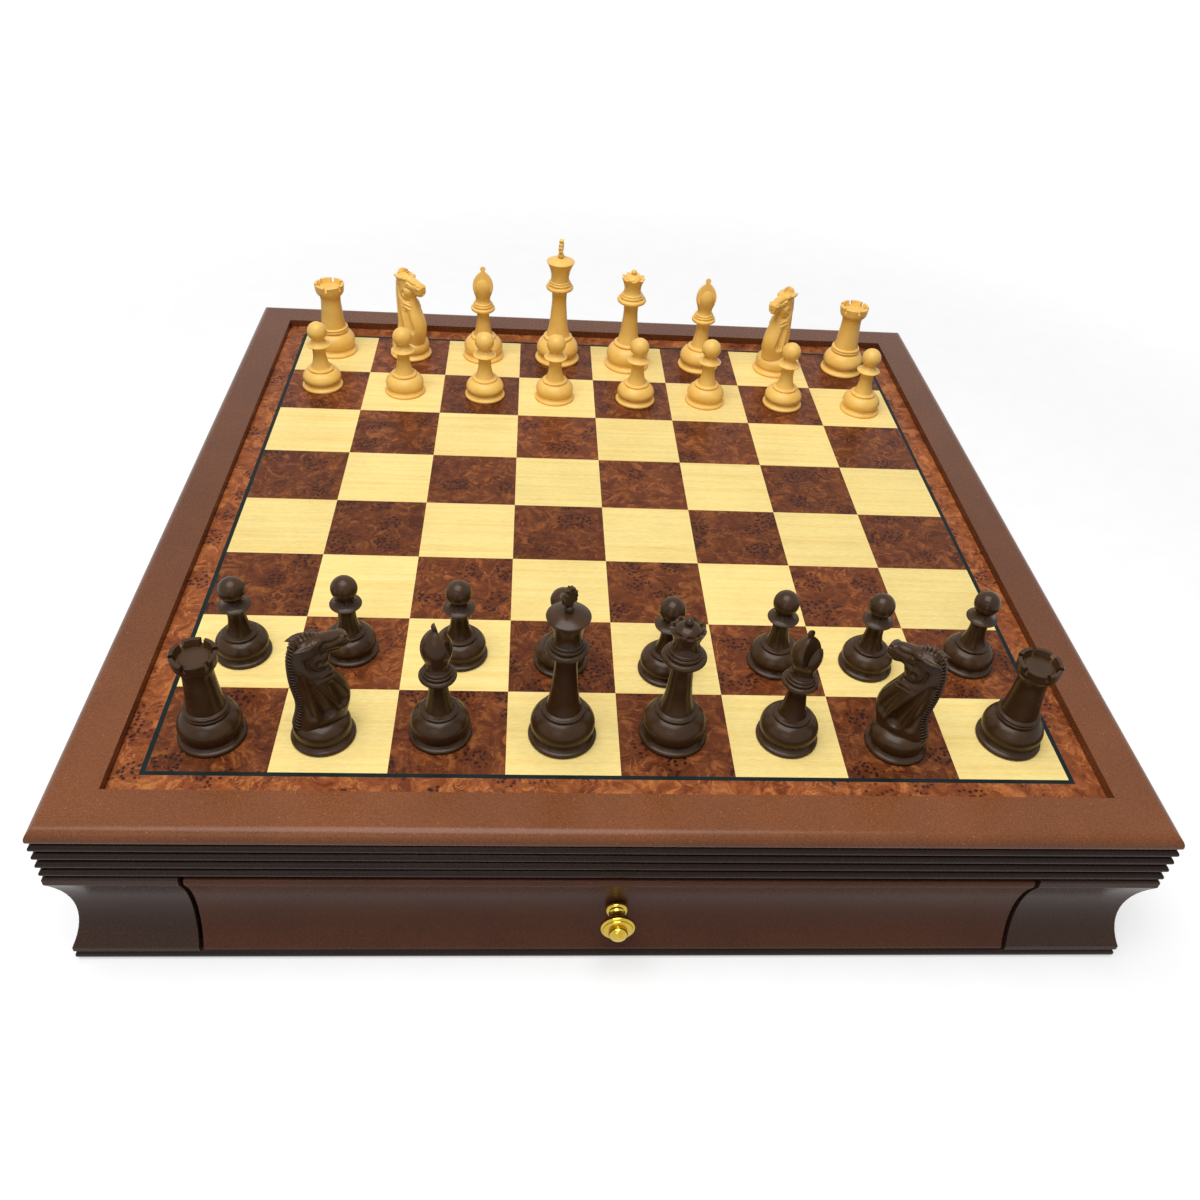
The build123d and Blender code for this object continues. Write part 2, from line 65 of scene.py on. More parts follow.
# Sizes from the frame, in metres
MM = 0.001
SQUARES_A_SIDE = 8
field_low, field_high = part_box("maple_squares")
SQUARE = (field_high.x - field_low.x) / SQUARES_A_SIDE
FRONT_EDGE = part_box("base_board")[0].y
# Height over which the painted shade above and below the cove blends in, at the cove's edges
PAINTED_SHADE_BLEND = 1 * MM
cove_low, cove_high = (corner.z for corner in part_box("cove_panel_back"))
COVE_MID = (cove_low + cove_high) / 2
COVE_HALF = (cove_high - cove_low) / 2 - PAINTED_SHADE_BLEND


def tone(red, green, blue):
    """A colour from its 0 to 255 display values, as the linear colour that shaders take."""
    linear = [((v / 255 + 0.055) / 1.055) ** 2.4 if v > 10 else v / 255 / 12.92 for v in (red, green, blue)]
    return (*linear, 1.0)


WHITE = (1, 1, 1, 1)

# Node helpers. A value that is a socket is linked, any other is set.


def put(tree, kind, inputs=None, **settings):
    node = tree.nodes.new(kind)
    for key, value in settings.items():
        setattr(node, key, value)
    for key, value in (inputs or {}).items():
        if isinstance(value, bpy.types.NodeSocket):
            tree.links.new(value, node.inputs[key])
        else:
            node.inputs[key].default_value = value
    return node


def maths(tree, operation, a, b=0.0):
    return put(tree, "ShaderNodeMath", {0: a, 1: b}, operation=operation).outputs[0]


def times(tree, a, b):
    return maths(tree, "MULTIPLY", a, b)


def vectors(tree, operation, a, b=(0, 0, 0)):
    return put(tree, "ShaderNodeVectorMath", {0: a, 1: b}, operation=operation).outputs[0]


def stretched(tree, where, scale):
    return vectors(tree, "MULTIPLY", where, scale)


def between(tree, value, low, high, to_low=0.0, to_high=1.0):
    """value taken smoothly from the range low..high to the range to_low..to_high."""
    inputs = {"Value": value, "From Min": low, "From Max": high, "To Min": to_low, "To Max": to_high}
    return put(tree, "ShaderNodeMapRange", inputs, interpolation_type="SMOOTHSTEP").outputs["Result"]


def noise(tree, where, scale, detail=3.0, distortion=0.0):
    inputs = {"Vector": where, "Scale": scale, "Detail": detail, "Distortion": distortion}
    return put(tree, "ShaderNodeTexNoise", inputs).outputs["Fac"]


def mix(tree, amount, a, b):
    """Colour a, with amount of colour b over it."""
    node = put(tree, "ShaderNodeMix", {0: amount, 6: a, 7: b}, data_type="RGBA")
    return node.outputs[2]


def ramp(tree, value, *stops):
    node = put(tree, "ShaderNodeValToRGB", {"Fac": value})
    points = node.color_ramp.elements
    while len(points) < len(stops):
        points.new(1.0)
    for point, (place, colour) in zip(points, stops):
        point.position = place
        point.color = colour
    return node.outputs["Color"]


def material(name, **inputs):
    made = bpy.data.materials.new(name)
    made.use_nodes = True
    tree = made.node_tree
    shader = tree.nodes["Principled BSDF"]
    for key, value in inputs.items():
        shader.inputs[key.replace("_", " ").title().replace("Ior", "IOR")].default_value = value
    where = put(tree, "ShaderNodeTexCoord").outputs["Object"]
    return made, tree, shader, where


def paint(tree, shader, colour, shade):
    """Gives the shader a colour, its brightness multiplied by shade."""
    final = put(tree, "ShaderNodeHueSaturation", {"Color": colour, "Value": shade})
    tree.links.new(final.outputs["Color"], shader.inputs["Base Color"])


def roughen(tree, shader, pattern, low, high, smooth, rough):
    """Takes the shader's roughness from smooth to rough as pattern goes from low to high."""
    tree.links.new(between(tree, pattern, low, high, smooth, rough), shader.inputs["Roughness"])


def clouded(tree, shader, cloud, low, high, rough, spread):
    """Colour from low to high, and roughness within spread of rough, as a cloud has it."""
    tree.links.new(ramp(tree, cloud, (0.3, low), (0.7, high)), shader.inputs["Base Color"])
    roughen(tree, shader, cloud, 0.25, 0.75, rough - spread, rough + spread)


def bump(tree, shader, height, distance, strength):
    node = put(tree, "ShaderNodeBump", {"Height": height, "Distance": distance, "Strength": strength})
    tree.links.new(node.outputs["Normal"], shader.inputs["Normal"])


def per_square(tree, where):
    """A random number for each square of the field, and where moved by a random step for each square."""
    whole = vectors(tree, "FLOOR", stretched(tree, where, (1 / SQUARE, 1 / SQUARE, 0)))
    dice = put(tree, "ShaderNodeTexWhiteNoise", {"Vector": whole}, noise_dimensions="3D").outputs
    return dice["Value"], vectors(tree, "ADD", dice["Color"], where)


def moved(tree, where, scale, reach):
    """where pushed about by a noise of the given scale, by up to reach."""
    warp = put(tree, "ShaderNodeTexNoise", {"Vector": where, "Scale": scale, "Detail": 2.0})
    return vectors(tree, "ADD", where, stretched(tree, warp.outputs["Color"], (reach, reach, 0)))


def cells(tree, where, scale):
    """Flat random cells: the distance to the nearest centre, in cells, and each cell's random colour."""
    made = put(tree, "ShaderNodeTexVoronoi", {"Vector": where, "Scale": scale}, voronoi_dimensions="2D")
    return made.outputs["Distance"], made.outputs["Color"]


# How fine the patterns of the materials are, per metre. Three numbers are for X, Y and Z.
BURL_SHADES = 9.0
BURL_SWIRLS = 90.0
BURL_CLOUDS = 110.0
BURL_WAVES = 34.0
BURL_BREAKS = 90.0
BURL_CLUSTERS = 44.0
BURL_EYE_WARP = 300.0
BURL_EYES = 360.0
BURL_FIBRES = 1500.0
MAPLE_GRAIN = (9.0, 330.0, 10.0)
MAPLE_FLECKS = (260.0, 1500.0, 10.0)
MAPLE_CLOUDS = 34.0
BOARD_MOTTLE = 1300.0
BOARD_CLOUDS = 24.0
BOARD_FIBRES = 420.0
GRAIN_ALONG_Y = (180.0, 8.0, 180.0)
RESIN_CLOUDS = 90.0
RESIN_SKIN = 2600.0
METAL_CLOUDS = 260.0
FELT_FUZZ = 1700.0
FELT_CLOUDS = 60.0
FLOOR_GRAIN = 40.0


def burl(name, dark, middle, light, eye, squares):
    """Burl veneer: cloudy, with thin bright contour lines and clusters of small dark eyes.

    Where squares is true, each square of the field has a cut of veneer of its own.
    """
    made, tree, shader, where = material(name, specular_ior_level=0.1)
    luck, place = per_square(tree, where) if squares else (noise(tree, where, BURL_SHADES), where)
    swirl = moved(tree, place, BURL_SWIRLS, 14 * MM)
    cloud = noise(tree, swirl, BURL_CLOUDS, 9.0, 1.4)
    body = ramp(tree, cloud, (0.34, dark), (0.54, middle), (0.76, light))
    contours = 62.0
    waves = maths(tree, "SINE", times(tree, noise(tree, swirl, BURL_WAVES, 4.0, 1.6), contours))
    broken = between(tree, noise(tree, place, BURL_BREAKS, 4.0), 0.42, 0.58, 0.0, 0.7)
    body = mix(tree, times(tree, between(tree, waves, 0.7, 1.0), broken), body, light)
    far, kind = cells(tree, swirl, BURL_CLUSTERS)
    some = between(tree, kind, 0.3, 0.4)
    body = mix(tree, times(tree, between(tree, far, 0.5, 0.1, 0.0, 0.5), some), body, dark)
    gap, kept = cells(tree, moved(tree, place, BURL_EYE_WARP, 2 * MM), BURL_EYES)
    spot = between(tree, gap, 0.46, 0.2)
    near = times(tree, between(tree, far, 0.4, 0.26), some)
    near = times(tree, near, between(tree, kept, 0.24, 0.34))
    body = mix(tree, times(tree, spot, near), body, eye)
    fibre = noise(tree, place, BURL_FIBRES, 4.0)
    uneven = between(tree, luck, 0.0, 1.0, -0.16, 0.12)
    paint(tree, shader, body, maths(tree, "ADD", uneven, between(tree, fibre, 0.3, 0.7, 0.8, 1.18)))
    roughen(tree, shader, fibre, 0.2, 0.8, 0.3, 0.4)
    bump(tree, shader, spot, 0.02 * MM, 0.3)
    return made


def maple(name):
    """Maple veneer: pale, with straight grain along X, darker streaks in it and fine flecks."""
    made, tree, shader, where = material(name, specular_ior_level=0.12)
    luck, place = per_square(tree, where)
    grain = noise(tree, stretched(tree, place, MAPLE_GRAIN), 1.0, 3.0, 0.5)
    flecks = noise(tree, stretched(tree, place, MAPLE_FLECKS), 1.0, 2.0)
    cloud = noise(tree, place, MAPLE_CLOUDS, 3.0)
    pale_tones = tone(244, 212, 130), tone(249, 222, 143), tone(252, 229, 153)
    body = ramp(tree, grain, *zip((0.28, 0.5, 0.75), pale_tones))
    body = mix(tree, between(tree, grain, 0.27, 0.2, 0.0, 0.4), body, tone(208, 158, 84))
    uneven = between(tree, luck, 0.0, 1.0, -0.05, 0.03)
    shade = maths(tree, "ADD", uneven, between(tree, flecks, 0.3, 0.7, 0.93, 1.03))
    shade = maths(tree, "ADD", shade, between(tree, cloud, 0.3, 0.7, -0.03, 0.03))
    paint(tree, shader, body, shade)
    roughen(tree, shader, flecks, 0.2, 0.8, 0.34, 0.42)
    bump(tree, shader, flecks, 0.015 * MM, 0.3)
    return made


def stained_board(name, low, high, fleck, rough, shine, painted_shade_far_back=1.0, painted_shade_off_cove=1.0):
    """Fibreboard stained one colour under a satin lacquer, with fine fibres showing.

    From the front edge to the middle of the box, painted shade takes it down to painted_shade_far_back of
    its brightness: darker towards the back.
    Above and below the cove, on the reeds and the base board, painted shade takes it down to trim of its
    brightness.
    """
    made, tree, shader, where = material(name, specular_ior_level=shine)
    mottle = noise(tree, where, BOARD_MOTTLE, 3.0)
    cloud = noise(tree, where, BOARD_CLOUDS, 3.0)
    body = ramp(tree, mottle, (0.32, low), (0.68, high))
    fibres = put(tree, "ShaderNodeTexVoronoi", {"Vector": where, "Scale": BOARD_FIBRES}).outputs
    some = between(tree, fibres["Color"], 0.62, 0.7)
    lit = times(tree, between(tree, fibres["Distance"], 0.16, 0.06), some)
    body = mix(tree, times(tree, lit, 0.6), body, fleck)
    axes = put(tree, "ShaderNodeSeparateXYZ", {0: where}).outputs
    # Painted shade: darker from the front edge towards the back of the box.
    painted_back_shade = between(tree, axes["Y"], FRONT_EDGE, 0.0, 1.0, painted_shade_far_back)
    shade = times(tree, between(tree, cloud, 0.3, 0.7, 0.93, 1.07), painted_back_shade)
    # Painted shade: darker above and below the cove, on the reeds and the base board.
    off_cove = maths(tree, "ABSOLUTE", maths(tree, "SUBTRACT", axes["Z"], COVE_MID))
    shade = times(tree, shade, between(tree, off_cove, COVE_HALF, COVE_HALF + PAINTED_SHADE_BLEND, 1.0, painted_shade_off_cove))
    paint(tree, shader, body, shade)
    roughen(tree, shader, mottle, 0.2, 0.8, rough - 0.05, rough + 0.05)
    bump(tree, shader, mottle, 0.02 * MM, 0.35)
    return made


def plain_wood(name, low, high, along):
    """Straight-grained wood, the grain along the axis of the small number in along."""
    made, tree, shader, where = material(name)
    grain = noise(tree, stretched(tree, where, along), 1.0, 5.0, 0.4)
    pores = noise(tree, stretched(tree, where, [4 * v for v in along]), 1.0, 2.0)
    body = ramp(tree, grain, (0.3, low), (0.7, high))
    paint(tree, shader, body, between(tree, pores, 0.3, 0.7, 0.9, 1.06))
    roughen(tree, shader, pores, 0.2, 0.8, 0.45, 0.6)
    bump(tree, shader, pores, 0.04 * MM, 0.5)
    return made


def moulded(name, low, high, rough, shine):
    """Satin moulded plastic, faintly uneven."""
    made, tree, shader, where = material(name, specular_ior_level=shine)
    clouded(tree, shader, noise(tree, where, RESIN_CLOUDS, 3.0), low, high, rough, 0.04)
    bump(tree, shader, noise(tree, where, RESIN_SKIN, 2.0), 0.006 * MM, 0.4)
    return made


def metal(name, low, high, rough):
    made, tree, shader, where = material(name, metallic=1.0)
    clouded(tree, shader, noise(tree, where, METAL_CLOUDS, 3.0), low, high, rough, 0.03)
    return made


def felt_cloth(name, low, high):
    made, tree, shader, where = material(name, roughness=0.95, sheen_weight=0.35, sheen_roughness=0.5)
    fuzz = noise(tree, where, FELT_FUZZ, 4.0, 0.8)
    cloud = noise(tree, where, FELT_CLOUDS, 3.0)
    body = ramp(tree, fuzz, (0.3, low), (0.7, high))
    paint(tree, shader, body, between(tree, cloud, 0.3, 0.7, 0.9, 1.1))
    bump(tree, shader, fuzz, 0.25 * MM, 0.7)
    return made


# Finish of each material slot of the CAD. The slot that isn't listed, the lining's, is felt.
finishes = {
    "dark_moulding": stained_board(
        "moulding_stain_and_shade",
        tone(62, 42, 33),
        tone(78, 54, 43),
        tone(104, 76, 62),
        rough=0.26,
        shine=0.12,
        # Painted shade: the reeds and the base board darker.
        painted_shade_off_cove=0.5,
    ),
    "frame_wood": stained_board(
        "frame_stain_and_shade",
        tone(112, 63, 35),
        tone(134, 81, 48),
        tone(196, 146, 108),
        rough=0.28,
        shine=0.2,
        # Painted shade: the frame darker towards the back.
        painted_shade_far_back=0.66,
    ),
    "drawer_front_wood": stained_board(
        "front_stain",
        tone(84, 50, 35),
        tone(100, 62, 45),
        tone(130, 94, 74),
        rough=0.28,
        shine=0.08,
    ),
    "burl_veneer": burl(
        "burl",
        tone(86, 41, 21),
        tone(112, 59, 31),
        tone(164, 97, 51),
        tone(50, 23, 18),
        squares=True,
    ),
    "border_veneer": burl(
        "border_burl",
        tone(112, 56, 31),
        tone(150, 83, 45),
        tone(196, 124, 70),
        tone(62, 30, 26),
        squares=False,
    ),
    "maple_veneer": maple("maple"),
    "inlay_veneer": moulded("dyed_line", tone(16, 28, 28), tone(24, 38, 38), rough=0.45, shine=0.08),
    "carcass_wood": plain_wood("carcass", tone(92, 62, 42), tone(118, 82, 56), GRAIN_ALONG_Y),
    "drawer_wood": plain_wood("drawer_sides", tone(128, 88, 58), tone(158, 114, 78), GRAIN_ALONG_Y),
    "knob_brass": metal("brass", tone(190, 160, 58), tone(206, 176, 74), rough=0.09),
    "screw_steel": metal("steel", tone(150, 150, 152), tone(178, 178, 180), rough=0.3),
    "dark_men": moulded("dark_resin", tone(57, 37, 20), tone(69, 47, 26), rough=0.26, shine=0.2),
    "light_men": moulded("light_resin", tone(240, 190, 94), tone(248, 203, 110), rough=0.34, shine=0.3),
}
felt_green = felt_cloth("felt", tone(20, 48, 34), tone(36, 74, 54))
for node in nodes.values():
    for slot in node.material_slots:
        slot.material = finishes.get(slot.material.name, felt_green)


def mesh_object(name, points, faces, finish):
    data = bpy.data.meshes.new(name)
    data.from_pydata(points, [], faces)
    data.materials.append(finish)
    data.shade_smooth()
    made = bpy.data.objects.new(name, data)
    bpy.context.scene.collection.objects.link(made)
    return made


# Felt in the drawer: one sheet, cut to the floor, its top faintly uneven and its edges rolled down
FELT_ACROSS = 60
FELT_ALONG = 70
FELT_DROP = 0.15 * MM
FELT_ROLL = 0.5 * MM
FELT_ROLL_WIDTH = 2 * MM
FELT_RIPPLE = 0.12 * MM


def lay_felt():
    low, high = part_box("drawer_lining")
    points = []
    for y in np.linspace(low.y, high.y, FELT_ALONG):
        for x in np.linspace(low.x, high.x, FELT_ACROSS):
            edge = min(x - low.x, high.x - x, y - low.y, high.y - y)
            roll = FELT_ROLL * math.exp(-edge / FELT_ROLL_WIDTH)
            ripple = FELT_RIPPLE * math.sin(37 * x + 11 * y) * math.sin(23 * y - 9 * x)
            points.append((x, y, high.z - FELT_DROP - roll + ripple))
    faces = []
    for j in range(FELT_ALONG - 1):
        for i in range(FELT_ACROSS - 1):
            a = j * FELT_ACROSS + i
            faces.append((a, a + 1, a + FELT_ACROSS + 1, a + FELT_ACROSS))
    felt = mesh_object("drawer_felt", points, faces, felt_green)
    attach(felt, "drawer")
    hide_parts("drawer_lining")


lay_felt()

# Knights. Each is a field of signed distances in millimetres, looking along +X, turned into a mesh.
# The radius of the foot and the turns, in degrees, are those of the CAD knights.
KNIGHT_R = 15.5
FOOT_SIDES = 96
KNIGHT_TURN = {
    "dark_knight_left": 32,
    "dark_knight_right": 141,
    "light_knight_left": -45,
    "light_knight_right": -132,
}

# The field is sampled in steps within a box, and cut off level inside the foot
KNIGHT_STEP = 0.34
KNIGHT_LOW = (-15.2, -9.9, 11.0)
KNIGHT_HIGH = (19.2, 9.9, 67.0)
KNIGHT_CUT = 12.2

# Sections up the neck: height, back, front and half width. They are ovals with square shoulders.
NECK = np.array(
    [
        (12.0, -12.4, 12.6, 8.4),
        (16.0, -11.6, 13.6, 8.6),
        (21.0, -9.8, 14.8, 8.7),
        (27.0, -9.4, 14.9, 8.5),
        (33.0, -10.1, 13.2, 7.9),
        (39.0, -10.7, 9.8, 7.0),
        (45.0, -10.9, 7.0, 6.2),
        (51.0, -10.9, 6.2, 5.4),
        (57.0, -9.6, 5.2, 4.6),
        (61.5, -6.4, 3.6, 3.4),
    ]
)
NECK_DEGREE = 6
NECK_POWER = 2.3

# Sections along the head: place, height of the middle, half height and half width
HEAD = np.array(
    [
        (-6.0, 58.0, 4.5, 3.8),
        (0.0, 57.2, 6.6, 4.8),
        (4.0, 56.4, 6.4, 4.8),
        (8.0, 56.4, 4.9, 4.1),
        (12.0, 56.2, 4.5, 3.7),
        (15.0, 55.6, 4.4, 3.6),
        (17.2, 55.2, 2.8, 2.6),
    ]
)
HEAD_DEGREE = 4
HEAD_POWER = 2.4
HEAD_BLEND = 2.2


def along_sections(table, column, at, degree):
    """A column of a table of sections as a smooth curve over its first column."""
    fit = np.polynomial.Polynomial.fit(table[:, 0], table[:, column], degree)
    return fit(np.clip(at, table[0, 0], table[-1, 0]))


def merge(a, b, soft):
    h = np.clip(0.5 + 0.5 * (b - a) / soft, 0, 1)
    return b + (a - b) * h - soft * h * (1 - h)


def carve(a, b, soft):
    return -merge(-a, b, soft)


def egg(p, middle, radii):
    q = [(p[k] - middle[k]) / radii[k] for k in range(3)]
    return (np.sqrt(q[0] ** 2 + q[1] ** 2 + q[2] ** 2) - 1) * min(radii)


def near_line(p, start, end):
    """The share of the way from start to end that is nearest to each point, and how far off it is."""
    run = [end[k] - start[k] for k in range(3)]
    t = np.clip(sum((p[k] - start[k]) * run[k] for k in range(3)) / sum(v * v for v in run), 0, 1)
    gap = np.sqrt(sum((p[k] - start[k] - t * run[k]) ** 2 for k in range(3)))
    return t, gap


def limb(p, start, end, r0, r1):
    """A round limb from start to end, its radius going from r0 to r1."""
    t, gap = near_line(p, start, end)
    return gap - (r0 + (r1 - r0) * t)


def leaf(p, start, end, r):
    """A flat leaf from start to end, r at its widest.

    Its edge is part of a half wave: blunt at the start, pointed at the end.
    """
    flatness = 1.7
    q, start, end = ((v[0], v[1], flatness * v[2]) for v in (p, start, end))
    t, gap = near_line(q, start, end)
    return (gap - r * np.sin(math.pi * (0.2 + 0.76 * t))) / flatness


def rounded(u, v, half, power):
    """Distance from an oval with square shoulders. u and v are 1 at its sides, half is its half width."""
    return ((np.abs(u) ** power + np.abs(v) ** power) ** (1 / power) - 1) * half


def neck_field(p):
    x, y, z = p
    back, fore, half = (along_sections(NECK, k, z, NECK_DEGREE) for k in (1, 2, 3))
    side = rounded((x - (back + fore) / 2) / ((fore - back) / 2), y / half, half, NECK_POWER)
    return np.maximum(side, np.maximum(NECK[0, 0] - z, z - NECK[-1, 0]))


def head_field(p):
    x, y, z = p
    mid, tall, wide = (along_sections(HEAD, k, x, HEAD_DEGREE) for k in (1, 2, 3))
    side = rounded((z - mid) / tall, y / wide, wide, HEAD_POWER)
    return np.maximum(side, np.maximum(HEAD[0, 0] - x, x - HEAD[-1, 0]))


def bend(start, pull, end, steps=14):
    """Points of a curve from start to end, drawn towards pull."""
    t = np.linspace(0, 1, steps)[:, None]
    points = (1 - t) ** 2 * np.array(start) + 2 * t * (1 - t) * np.array(pull) + t**2 * np.array(end)
    return [tuple(v) for v in points]


def near_route(x, z, route):
    """How far each point is from a route in the XZ plane, and how far along the route that is."""
    nearest = np.full(x.shape, np.inf)
    run = np.zeros(x.shape)
    before = 0.0
    for (x0, z0), (x1, z1) in zip(route, route[1:]):
        length = math.hypot(x1 - x0, z1 - z0)
        t = np.clip(((x - x0) * (x1 - x0) + (z - z0) * (z1 - z0)) / length**2, 0, 1)
        gap = np.hypot(x - x0 - t * (x1 - x0), z - z0 - t * (z1 - z0))
        closer = gap < nearest
        run = np.where(closer, before + t * length, run)
        nearest = np.where(closer, gap, nearest)
        before += length
    return nearest, run


# The mane: a flat rounded ridge from the forehead over the poll, down the back of the neck
MANE_START = (2.4, 62.4)
MANE_PULL = (-6.4, 66.6)
MANE_TOP = 58.0
MANE_FOOT = 13.0
MANE_POINTS = 24
MANE_INSET = 0.6
MANE_RISE = 0.8
MANE_R = 0.9
MANE_FLATNESS = 0.4
MANE_BLEND = 0.4


def mane_route():
    """Where the mane runs in the XZ plane."""
    heights = np.linspace(MANE_TOP, MANE_FOOT, MANE_POINTS)
    backs = along_sections(NECK, 1, heights, NECK_DEGREE) + MANE_INSET
    return bend(MANE_START, MANE_PULL, (backs[0], heights[0] + MANE_RISE)) + list(zip(backs, heights))


# Grooves and ridges on the sides: route in the XZ plane, half width, and depth at its ends.
# A depth below 0 is a ridge.
CUTS = {
    "neck_muscle": (bend((-0.6, 40.0), (3.0, 31.0), (7.0, 21.0)), 1.4, (-0.3, -0.7)),
    "beside_mane": (bend((-8.6, 46.0), (-8.0, 34.0), (-5.6, 20.0)), 1.5, (0.8, 1.0)),
    "jaw": (bend((-4.4, 54.0), (-4.6, 44.6), (4.6, 45.0)), 0.9, (1.0, 1.3)),
    "upper_throat_fold": (bend((1.4, 42.8), (4.4, 43.2), (7.0, 41.8)), 0.5, (-0.5, -0.6)),
    "lower_throat_fold": (bend((1.0, 40.6), (4.4, 41.0), (7.6, 39.4)), 0.5, (-0.5, -0.6)),
    "upper_muzzle": (bend((5.4, 59.2), (9.0, 58.0), (12.6, 58.8)), 0.8, (0.9, 0.5)),
    "lower_muzzle": (bend((3.6, 54.6), (7.4, 54.6), (11.2, 53.2)), 0.8, (0.9, 0.8)),
}

# Forms added to the head: middle, radii, and how softly each one joins.
# What is off the middle plane is there on both sides, here and below.
LUMPS = {
    "cheek": ((1.8, 2.4, 51.4), (5.4, 3.6, 5.6), 0.8),
    "chin": ((12.8, 0.0, 52.0), (3.8, 2.6, 1.9), 0.7),
    "nose": ((14.6, 2.3, 57.4), (2.4, 1.8, 2.2), 0.6),
    "brow": ((1.8, 3.8, 61.0), (2.4, 1.8, 1.9), 0.5),
}
EYEBALL = ((4.4, 4.2, 58.2), (1.3, 0.8, 0.9), 0.1)

# Hollows in the head, given the same way
EYE_SOCKET = ((4.4, 5.2, 58.2), (1.9, 1.3, 1.2), 0.3)
CHEEK_HOLLOW = ((1.2, 6.7, 50.6), (1.7, 2.3, 2.0), 0.4)
NOSTRIL = ((15.9, 3.8, 58.4), (1.2, 1.2, 0.9), 0.25)

# Long hollows: start, end, radius at both, and how softly each one cuts
NECK_HOLLOWS = [
    ((-7.0, 6.4, 46.0), (1.6, 10.4, 21.6), 1.1, 4.7, 0.5),
    ((5.8, 8.2, 36.6), (10.4, 9.8, 24.6), 2.7, 4.5, 0.8),
]
EAR_HOLLOW = ((-2.4, 4.9, 63.0), (-7.4, 5.2, 62.4), 1.0, 0.6, 0.5)
MOUTH_SIDE = ((18.2, 3.8, 53.9), (8.6, 4.0, 53.8), 0.75, 0.5, 0.2)
MOUTH_FRONT = ((18.6, 0.0, 53.9), (13.6, 0.0, 53.8), 0.7, 0.5, 0.2)

EAR = ((1.0, 3.6, 61.0), (-9.6, 4.9, 61.0), 2.6)
EAR_BLEND = 0.4
TEETH = (10.6, 12.1, 13.6, 15.1)
TOOTH_SIDE = 3.0
TOOTH_HEIGHT = 53.9
TOOTH_RADII = (0.55, 0.7, 0.9)
TOOTH_BLEND = 0.1


def knight_field(p):
    x, y, z = p
    half = (x, np.abs(y), z)

    def with_lump(solid, middle, radii, soft):
        return merge(solid, egg(half, middle, radii), soft)

    def with_pit(solid, middle, radii, soft):
        return carve(solid, egg(half, middle, radii), soft)

    def with_hollow(solid, start, end, r0, r1, soft):
        return carve(solid, limb(half, start, end, r0, r1), soft)

    solid = merge(neck_field(p), head_field(p), HEAD_BLEND)
    for lump in LUMPS.values():
        solid = with_lump(solid, *lump)
    for route, width, depths in CUTS.values():
        gap, run = near_route(x, z, route)
        depth = depths[0] + (depths[1] - depths[0]) * run / run.max()
        solid = solid + depth * np.exp(-((gap / width) ** 2))
    for hollow in NECK_HOLLOWS:
        solid = with_hollow(solid, *hollow)
    gap = near_route(x, z, mane_route())[0]
    solid = merge(solid, np.sqrt(gap**2 + (MANE_FLATNESS * y) ** 2) - MANE_R, MANE_BLEND)
    solid = merge(solid, leaf(half, *EAR), EAR_BLEND)
    solid = with_hollow(solid, *EAR_HOLLOW)
    solid = with_pit(solid, *EYE_SOCKET)
    solid = with_lump(solid, *EYEBALL)
    solid = with_pit(solid, *CHEEK_HOLLOW)
    solid = with_pit(solid, *NOSTRIL)
    solid = with_hollow(solid, *MOUTH_SIDE)
    solid = with_hollow(solid, *MOUTH_FRONT)
    for tooth in TEETH:
        solid = with_lump(solid, (tooth, TOOTH_SIDE, TOOTH_HEIGHT), TOOTH_RADII, TOOTH_BLEND)
    return np.maximum(solid, KNIGHT_CUT - z)


# Ribs across the mane. They start small at the forehead and soon reach full size.
# They lose height as far as the poll, and gain width all the way down.
RIB_PITCH = 1.75
RIB_FIRST = 0.7
RIB_HALF_THICK = 0.5
RIB_START = 0.5
RIB_GROWTH = 8
RIB_TALL = 3.2
RIB_LOWER = 0.9
RIB_WIDE = 2.4
RIB_WIDER = 1.3
POLL_SHARE = 0.22
RIB_AROUND = 14
RIB_UP = 8


def mane_ribs():
    """Points and faces of the ribs across the mane: flat beads set along its route."""
    route = np.array(mane_route())
    steps = np.hypot(*np.diff(route, axis=0).T)
    run = np.concatenate([[0], np.cumsum(steps)])

    def at(s):
        return np.array([np.interp(s, run, route[:, k]) for k in (0, 1)])

    points, faces = [], []
    for s in np.arange(RIB_FIRST, run[-1], RIB_PITCH):
        x, z = at(s)
        ahead = at(s + RIB_HALF_THICK) - at(s - RIB_HALF_THICK)
        tx, tz = ahead / np.hypot(*ahead)
        share = s / run[-1]
        grown = min(1, RIB_START + RIB_GROWTH * share)
        tall = grown * (RIB_TALL - RIB_LOWER * min(1, share / POLL_SHARE))
        wide = grown * (RIB_WIDE + RIB_WIDER * share)
        first = len(points)
        for i in range(RIB_UP + 1):
            lat = math.pi * i / RIB_UP
            for j in range(RIB_AROUND):
                lon = 2 * math.pi * j / RIB_AROUND
                a = RIB_HALF_THICK * math.cos(lat)
                b = tall * math.sin(lat) * math.cos(lon)
                c = wide * math.sin(lat) * math.sin(lon)
                points.append((x + tx * a - tz * b, c, z + tz * a + tx * b))
        for i in range(RIB_UP):
            ring = first + i * RIB_AROUND
            above = ring + RIB_AROUND
            for j in range(RIB_AROUND):
                k = (j + 1) % RIB_AROUND
                faces.append((ring + j, above + j, above + k, ring + k))
    return points, faces


